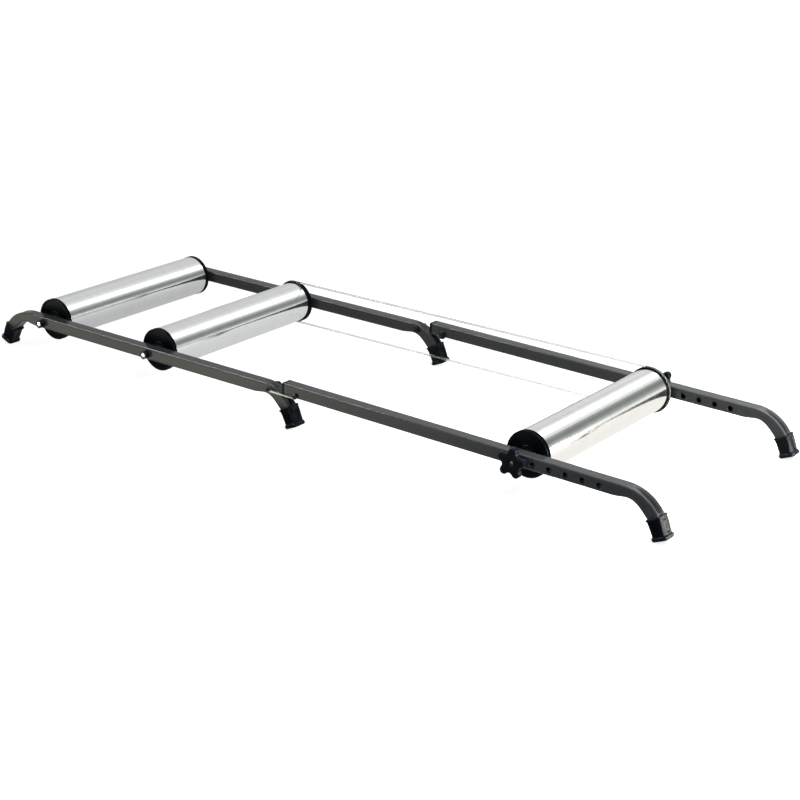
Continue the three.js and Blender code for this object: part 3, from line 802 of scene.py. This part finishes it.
# %% Drums: tools for trees
def geometry_tree(name, **sizes):
    """An empty Geometry Nodes tree with one input for each size, and a material."""
    group = bpy.data.node_groups.new(name, "GeometryNodeTree")
    group.interface.new_socket("Geometry", in_out="OUTPUT", socket_type="NodeSocketGeometry")
    for size, value in sizes.items():
        kind = "NodeSocketInt" if isinstance(value, int) else "NodeSocketFloat"
        group.interface.new_socket(size, in_out="INPUT", socket_type=kind).default_value = value
    group.interface.new_socket("Material", in_out="INPUT", socket_type="NodeSocketMaterial")
    return group, node(group, "NodeGroupInput").outputs


def circle_in(group, points, radius):
    return node(group, "GeometryNodeCurvePrimitiveCircle", {"Resolution": points, "Radius": radius})


def end_tree(group, sizes, path, profile, caps=False):
    """Carries the profile along the path, and gives the mesh the material."""
    curves = {"Curve": path, "Profile Curve": profile, "Fill Caps": caps}
    swept = node(group, "GeometryNodeCurveToMesh", curves)
    real = node(group, "GeometryNodeRealizeInstances", {"Geometry": swept})
    painted = node(group, "GeometryNodeSetMaterial", {"Geometry": real, "Material": sizes["Material"]})
    node(group, "NodeGroupOutput", {"Geometry": painted})


def grown(name, group, material, **sizes):
    """A plain mesh object from a tree, with its sizes in metres set by the sockets' identifiers."""
    piece = linked(name, bpy.data.meshes.new(name))
    maker = piece.modifiers.new("maker", "NODES")
    maker.node_group = group
    identifier = {item.name: item.identifier for item in group.interface.items_tree}
    for size, value in sizes.items():
        maker[identifier[size]] = value
    maker[identifier["Material"]] = material
    return settle(piece)


def put(piece, x=0.0, y=0.0, z=0.0, turn=None):
    """Moves the mesh itself, in millimetres, so that the object stays at the origin."""
    matrix = Matrix.Translation(Vector((x, y, z)) * MM) @ (turn.to_4x4() if turn else Matrix())
    piece.data.transform(matrix)
    if matrix.determinant() < 0:
        piece.data.flip_normals()


sleeve, size = geometry_tree("sleeve", Radius=0.041, Wall=0.003, Length=0.394, Edge=0.0004, Sides=240)
middle = reckon("SUBTRACT", size["Radius"], times(size["Wall"], 0.5))
wall = node(sleeve, "GeometryNodeCurvePrimitiveQuadrilateral",
            {"Width": size["Wall"], "Height": size["Length"]})
eased_wall = node(sleeve, "GeometryNodeFilletCurve",
                  {"Curve": wall, "Count": 3, "Radius": size["Edge"]}, mode="POLY")
end_tree(sleeve, size, circle_in(sleeve, size["Sides"], middle), eased_wall)
ALONG_Y = Matrix.Rotation(pi / 2, 3, "X")
for drum, centre in axis.items():
    piece = grown(f"{drum}_drum", sleeve, turned_aluminium)
    put(piece, *centre, turn=ALONG_Y)
    place(piece, f"{drum}_drum_shell", "drum_aluminium")
    box = [round(x * 1000, 1) for x in piece.dimensions]
    print(drum, "drum", box, "mm,", len(piece.data.polygons), "faces")

# %% [markdown]
# ## End caps, bearings and spacers
# A black moulded cap is pressed into each end of a drum. Its flange stands a little proud of the shell,
# has a groove for the belt and a raised rim, and its hub holds a sealed ball bearing. All of these are
# turned shapes: one softened profile each, carried round the axle. The belt's two caps are larger.

# %% End caps, bearings and spacers
DRUM_SHIFT, CAP_START, CAP_FACE, RAIL_FACE = 2.3, 197, 204.8, 214.7
PLAIN_CAP, PULLEY_CAP, SPACER = 41.8, 43.4, 7.5
SEAT = [(9.6, -12), (37.7, -12), (37.7, 0.3)]
HUB_STEP = [(16.2, 7.5), (15.7, 8.1), (13.9, 8.1), (13.1, 7.5), (13.1, 0.2), (9.6, 0.2)]
RACES = [(BORE, -7), (12.8, -7), (12.8, 0), (10.4, 0), (10.4, -0.5), (9.9, -0.9), (8.3, -0.6),
         (7.9, -0.9), (7.7, -0.5), (7.7, 0), (BORE, 0)]


def cap_profile(outer):
    """Seat in the drum, flange with its groove, rim, and hub with the bearing's pocket."""
    groove = [(outer, 0.3), (outer, 1.55), (outer - 3.2, 3.05), (outer - 3.2, 6.25), (outer, 7.75)]
    return SEAT + groove + [(outer, 9), (outer - 3.2, 9), (outer - 4.4, 7.5)] + HUB_STEP


for drum, centre in axis.items():
    for name, side in SIDES.items():
        at = {"x": centre.x, "z": centre.z, "outward": side}
        outer = PULLEY_CAP if side > 0 and drum != "rear" else PLAIN_CAP
        shape = moved(turned(softened(cap_profile(outer), 0.45), 96), y=CAP_START * side + DRUM_SHIFT, **at)
        cap = solid(f"{drum}_cap_{name}", *shape, black_plastic)
        place(cap, f"{drum}_end_cap_{name}", "black_plastic")
        shape = moved(turned(softened(RACES, 0.25, 2), 48), y=CAP_FACE * side + DRUM_SHIFT, **at)
        place(solid(f"{drum}_races_{name}", *shape, dark_race), f"{drum}_bearing_{name}", "bearing_steel")
        start = CAP_FACE + 0.3 + DRUM_SHIFT * side
        long = RAIL_FACE - start
        ring = softened([(BORE, 0), (SPACER, 0), (SPACER, long), (BORE, long)], 0.5)
        shape = moved(turned(ring, 40), y=start * side, **at)
        place(solid(f"{drum}_sleeve_{name}", *shape, black_oxide), f"{drum}_spacer_{name}", "black_steel")
print("six caps,", len(cap.data.polygons), "faces each; six bearings; six spacers")

# %% [markdown]
# ## Axles and their screw threads
# The axles are plain bars with a thread at each end. A thread is a small ridge that follows a helix, so
# it is a path with a section: Geometry Nodes draw the helix, carry a three-cornered ridge along it, and
# the same tree threads the fold bolts. The ends of the rear axles are domed and stand out of their nuts.

# %% Axles and their screw threads
screw, size = geometry_tree("screw_thread", Radius=0.0047, Pitch=0.00125, Turns=8.5, Ridge=0.0003)
run = times(size["Pitch"], size["Turns"])
helix = node(screw, "GeometryNodeCurveSpiral", {"Resolution": 24, "Rotations": size["Turns"],
             "Start Radius": size["Radius"], "End Radius": size["Radius"], "Height": run})
end_tree(screw, size, helix, circle_in(screw, 3, size["Ridge"]), caps=True)


def with_thread(piece, centre, start, side, material, **sizes):
    """Adds a thread to a bar along Y, from a height outwards, and joins it to the bar's mesh."""
    thread = grown("thread", screw, material, **sizes)
    put(thread, centre.x, start * side, centre.z, turn=Matrix.Rotation(-side * pi / 2, 3, "X"))
    build = bmesh.new()
    build.from_mesh(piece.data)
    build.from_mesh(thread.data)
    build.to_mesh(piece.data)
    build.free()
    bpy.data.objects.remove(thread)


def bar(half, end):
    return [(0, -half)] + [(r, -h) for r, h in end] + [(r, h) for r, h in end[::-1]] + [(0, half)]


THREAD_START = 236
NECK = [(4.55, THREAD_START), (5, THREAD_START - 0.5)]
DOMED = [(1.4, 248.8), (2.6, 248.4), (3.6, 247.9), (4.2, 247.4), (4.5, 246.8)]
CHAMFERED = [(3.9, 249), (4.5, 248.2)]
for drum, centre in axis.items():
    half, end = (249, CHAMFERED) if drum == "front" else (248.9, DOMED)
    shaft = moved(turned(bar(half, end + NECK), 40), x=centre.x, z=centre.z)
    piece = solid(f"{drum}_bar", *shaft, ground_bar)
    for name, side in SIDES.items():
        with_thread(piece, centre, THREAD_START, side, ground_bar)
    place(piece, f"{drum}_axle", "axle_steel")
print("three axles,", len(piece.data.polygons), "faces each with their threads")

# %% [markdown]
# ## Nuts and bolts
# A nut is a hexagon whose corners a lathe has cut back to a cone. So it is turned, too, with a radius
# that follows the hexagon: at each angle the side lies at the hexagon's distance, and the corner's
# height drops with it. The bolts' heads are domed, with a hexagon socket made in the same way.


# %% Nuts and bolts
def hexagon(angle, flats):
    """Distance of a hexagon's side from its middle, in that direction."""
    sixth = pi / 3
    return flats / 2 / cos((angle + sixth / 2) % sixth - sixth / 2)


def nut_profile(flats, height, bore, flange=0.0):
    crown = flats / 2 * 0.97

    def profile(angle):
        side = hexagon(angle, flats)
        drop = max(side - crown, 0) * 0.55
        low = [(crown, 0), (side, drop)] if not flange else [(flange - 0.5, 0), (flange, 0.3),
               (flange, 1.0), (flange - 0.5, 1.45), (side + 0.15, 2.0), (side, 2.5)]
        return ([(bore, 0.5), (bore + 0.5, 0)] + low
                + [(side, height - drop), (crown, height), (bore + 0.5, height), (bore, height - 0.5)])

    return profile


def bolt_profile(angle):
    socket = hexagon(angle, 3.0)
    dome = [(4.6, 0.0), (4.6, 0.5), (4.45, 1.1), (4.1, 1.75), (3.5, 2.3), (2.8, 2.65), (2.1, 2.8)]
    shank = [(0, -33.7), (1.7, -33.7), (2.35, -33.0), (2.35, -24.0), (2.5, -23.7), (2.5, -0.2), (2.8, 0.0)]
    return shank + dome + [(socket + 0.12, 2.8), (socket, 2.65), (socket, 1.2), (0, 0.8)]


NUT_SEAT, BOLT_SEAT, BOLT_THREAD = 238.3, 241.1, 207.6
axle_nut = turned(nut_profile(15, 9, BORE), 120)
flange_nut = turned(nut_profile(12, 6, BOLT_BORE, flange=8.2), 96)
button_bolt = turned(bolt_profile)
for name, side in SIDES.items():
    for drum in ("rear", "middle"):
        shape = moved(axle_nut, axis[drum].x, NUT_SEAT * side, axis[drum].z, side)
        nut = solid(f"{drum}_nut_{name}", *shape, black_oxide)
        place(nut, f"{drum}_axle_nut_{name}", "black_steel", 25)
    for pivot in ("rear", "front"):
        centre = middle_of(f"fold_bolt_{pivot}_{name}")
        shape = moved(button_bolt, centre.x, BOLT_SEAT * side, centre.z, side)
        bolt = solid(f"pivot_bolt_{pivot}_{name}", *shape, black_oxide)
        with_thread(bolt, centre, BOLT_THREAD, side, black_oxide, Radius=0.00235, Pitch=0.0008,
                    Turns=11.5, Ridge=0.0002)
        place(bolt, f"fold_bolt_{pivot}_{name}", "black_steel", 30)
        shape = moved(flange_nut, centre.x, RAIL_FACE * side, centre.z, -side)
        nut = solid(f"pivot_nut_{pivot}_{name}", *shape, black_oxide)
        place(nut, f"fold_nut_{pivot}_{name}", "black_steel", 25)
print("four axle nuts, four pivot bolts, four flange nuts")

# %% [markdown]
# ## Fold links
# Two flat bars, one on each side, join the rear section to the front one. They are punched from strip:
# two round eyes with a straight lower edge between them and a dipped upper one, with the punch's small
# round on the edges. A flat curve with holes in it, given a thickness and a bevel, makes just that.


# %% Fold links: tools for flat curves
def punched(name, outlines, thickness, edge, material):
    """A plate of a thickness along Y from flat outlines in X and Z; the first surrounds the rest."""
    data = bpy.data.curves.new(name, "CURVE")
    data.dimensions, data.fill_mode = "2D", "BOTH"
    data.extrude = (thickness / 2 - edge) * MM
    data.bevel_depth, data.bevel_resolution, data.offset = edge * MM, 2, -edge * MM
    for outline in outlines:
        spline = data.splines.new("POLY")
        spline.points.add(len(outline) - 1)
        for point, (x, z) in zip(spline.points, outline):
            point.co = (x * MM, z * MM, 0, 1)
        spline.use_cyclic_u = True
    drawn = linked(name, data)
    mesh = plain_mesh(drawn)
    bpy.data.objects.remove(drawn)
    build = bmesh.new()
    build.from_mesh(mesh)
    bmesh.ops.remove_doubles(build, verts=build.verts, dist=1e-6)
    bmesh.ops.rotate(build, verts=build.verts, matrix=ALONG_Y)
    bmesh.ops.recalc_face_normals(build, faces=build.faces)
    build.to_mesh(mesh)
    build.free()
    piece = linked(name, mesh)
    mesh.materials.clear()
    mesh.materials.append(material)
    return piece


def polar(radius, degrees, x=0.0, z=0.0):
    return x + radius * cos(radians(degrees)), z + radius * sin(radians(degrees))


def arc(x, z, radius, start, end, steps):
    return [polar(radius, start + (end - start) * step / steps, x, z) for step in range(steps + 1)]


print("flat curves are ready")

# %% [markdown]
# ### The two links
# Their zinc is dull. Each link is darker in a ring round both bolts, and painted shade darkens its
# upper edge, above a line that falls towards the front bolt.

# %% The two links
PITCH, EYE, OPENING, DIP = FRONT_PIVOT - REAR_PIVOT, 5.6, 62.0, -4.6
LINK_MIDDLE, LINK_THICK = 239.55, 2.5
eye_x, eye_z = polar(EYE, OPENING)
bow = [(PITCH - eye_x, eye_z), (PITCH - eye_x - eye_z, DIP), (eye_x + eye_z, DIP), (eye_x, eye_z)]
waist = interpolate_bezier(*bow, 21)[1:-1]
outline = arc(0, 0, EYE, OPENING, 270, 20) + arc(PITCH, 0, EYE, -90, 180 - OPENING, 20) + waist
eyes = [arc(x, 0, BOLT_BORE, 360, 0, 28)[:-1] for x in (0, PITCH)]
link_plate, shader, where = steel("link_plate", (0.21, 0.23, 0.24, 1), (0.32, 0.34, 0.35, 1),
                                  (0.24, 0.36), (0.7, 0.72, 0.73, 1))
tree = shader.id_data
flat = node(tree, "ShaderNodeVectorMath", {0: where, 1: (1, 0, 1)}, operation="MULTIPLY")
# A darker ring round each bolt.
darker_round_bolts = []
for x in (REAR_PIVOT, FRONT_PIVOT):
    bolt_at = (x * MM, 0, PIVOT_Z * MM)
    away = node(tree, "ShaderNodeVectorMath", {0: flat, 1: bolt_at}, operation="DISTANCE")
    darker_round_bolts.append(ranged(away.outputs["Value"], 0.0046, 0.0056, 1, 0))
# Painted shade on the upper part of the link, above a line that falls towards the front bolt.
spot = axes_of(where)
taper = ranged(spot[0], REAR_PIVOT * MM, FRONT_PIVOT * MM, 0, 0.0024)
height = reckon("ADD", spot[2], taper)
upper = ranged(height, PIVOT_Z * MM - 0.0024, PIVOT_Z * MM - 0.0008, 0, 0.92)
bolt_rings_and_painted_shade = reckon("MAXIMUM", reckon("MAXIMUM", *darker_round_bolts), upper)
covered(shader, bolt_rings_and_painted_shade, (0.012, 0.013, 0.014, 1))
for name, side in SIDES.items():
    link = punched(f"link_{name}", [outline] + eyes, LINK_THICK, 0.35, link_plate)
    put(link, REAR_PIVOT, LINK_MIDDLE * side, PIVOT_Z)
    place(link, f"fold_link_{name}", "zinc_steel")
print("two links,", len(link.data.polygons), "faces each,", [round(x * 1000, 1) for x in link.dimensions])

# %% [markdown]
# ## Star knobs and their inserts
# The front drum can be moved to other holes, so its axle is held by hand knobs. A knob is a rule, too:
# five round lobes on a circle with hollows between them. It is moulded over a threaded steel insert and
# has a collar towards the rail.

# %% Star knobs
LOBES, LOBE, SWEEP, TIP, WAIST, KNOB_TURN = 5, 7.5, 80, 20.0, 14.0, -12.0
KNOB_MIDDLE, KNOB_THICK, KNOB_EDGE = 249.3, 12, 2.2


def star():
    """Each lobe is an arc of 80 degrees to both sides; a hollow leads on to the next one."""
    outline, step = [], 360 / LOBES
    for lobe in range(LOBES):
        angle = KNOB_TURN + step * lobe
        outline += arc(*polar(TIP, angle), LOBE, angle - SWEEP, angle + SWEEP, 14)
        start, low = Vector(outline[-1]), Vector(polar(WAIST, angle + step / 2))
        end = Vector(polar(LOBE, angle + step - SWEEP, *polar(TIP, angle + step)))
        outline += [bowed(start, low, end, part / 8) for part in range(1, 8)]
    return outline


COLLAR = [(6.0, 0), (10.4, 0), (11, 0.6), (11, 5.6), (6.0, 5.6)]
POCKET = [(0, -2), (7.3, -2), (7.3, 13.3), (4.4, 13.3), (4.4, 14.5), (0, 14.5)]
INSERT = [(BORE, 0), (7, 0), (7, 2.2), (6.6, 2.6), (6.6, 3.2), (7, 3.6), (7, 13), (BORE, 13)]
outlines = [star(), arc(0, 0, 4.4, 360, 0, 36)[:-1]]
for name, side in SIDES.items():
    at = {"x": axis["front"].x, "y": NUT_SEAT * side, "z": axis["front"].z, "outward": side}
    grip = punched(f"knob_{name}", outlines, KNOB_THICK, KNOB_EDGE, black_plastic)
    put(grip, at["x"], KNOB_MIDDLE * side, at["z"], turn=Matrix.Diagonal((1, side, side)))
    carve(grip, solid("collar", *moved(turned(COLLAR), **at), black_plastic), "UNION")
    carve(grip, solid("pocket", *moved(turned(POCKET), **at)))
    place(grip, f"star_knob_{name}", "black_plastic", 45)
    shape = moved(turned(softened(INSERT, 0.3), 48), **at)
    place(solid(f"insert_{name}", *shape, zinc_plate), f"knob_insert_{name}", "zinc_steel")
print("two star knobs,", len(grip.data.polygons), "faces each")

# %% [markdown]
# ## End plugs
# A plug closes the open rear end of each front rail: a domed head as wide as the tube, and a shank
# with one groove inside it. It is the rail's section again, carried straight.

# %% End plugs
PLUG = [(-6.5, 9.2, 2.4), (-6.3, 10.0, 2.5), (-5.8, 10.8, 2.6), (-5.0, 11.3, 2.6), (-4.2, 11.5, 2.6),
        (-0.3, 11.5, 2.6), (0, 11.2, 2.6), (0, 9.4, 1.5), (5, 9.4, 1.5), (5.4, 9.0, 1.5), (6.2, 9.0, 1.5),
        (6.6, 9.4, 1.5), (12.3, 9.4, 1.5), (13.3, 8.4, 1.2)]
points, faces = skin([[(x, across, out) for across, out in section(half, corner)]
                      for x, half, corner in from_there(FRONT_BACK - 0.3, PLUG)])
for name, side in SIDES.items():
    shape = moved((leaned(points), faces), y=RAIL_Y * side, z=RAIL_Z + FRONT_RISE)
    place(solid(f"plug_{name}", *shape, black_plastic), f"end_plug_{name}", "black_plastic", 50)
print("two end plugs")

# %% [markdown]
# ## Drive belt
# A round urethane cord turns the front drum with the middle one, so that both bicycle wheels spin. It
# is see-through: pale against the floor and dark against the black caps. Round two equal pulleys it is
# a circle that was cut in half and pulled apart: the tree takes a circle, moves the half that faces
# forward by the distance between the axles, and gives it thickness.

# %% Drive belt
urethane, shader, where = surface("urethane", (0.85, 0.84, 0.8, 1), 0.32, Transmission_Weight=0.9, IOR=1.2)
feed(shader, "Base Color", between(grain(where, 30, 3), (0.52, 0.51, 0.485, 1), (0.66, 0.65, 0.62, 1)))
feed(shader, "Roughness", ranged(grain(where, 200, 2), 0.3, 0.7, 0.08, 0.18))
relief(shader, grain(where, 700, 2), 0.00005, 0.3)

belt, size = geometry_tree("round_belt", Track=0.0429, Span=0.85, Thickness=0.002, Points=128)
path = circle_in(belt, size["Points"], size["Track"])
spot = axes_of(node(belt, "GeometryNodeInputPosition"))
forward = node(belt, "FunctionNodeCompare", {"A": spot[0], "B": -0.000001}, operation="GREATER_THAN")
pull = node(belt, "ShaderNodeCombineXYZ", {"X": size["Span"]})
apart = node(belt, "GeometryNodeSetPosition", {"Geometry": path, "Selection": forward, "Offset": pull})
end_tree(belt, size, apart, circle_in(belt, 16, size["Thickness"]))
hub = axis["middle"]
span = axis["front"] - hub
slope = atan2(span.z, span.x)
belt_y = middle_of("drive_belt").y
loop_piece = grown("belt", belt, urethane, Span=span.length * MM)
put(loop_piece, hub.x, belt_y, hub.z, Matrix.Rotation(-slope, 3, "Y") @ ALONG_Y)
place(loop_piece, "drive_belt", "belt_urethane")
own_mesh(loop_piece)
print("belt", [round(x * 1000, 1) for x in loop_piece.dimensions], "mm")
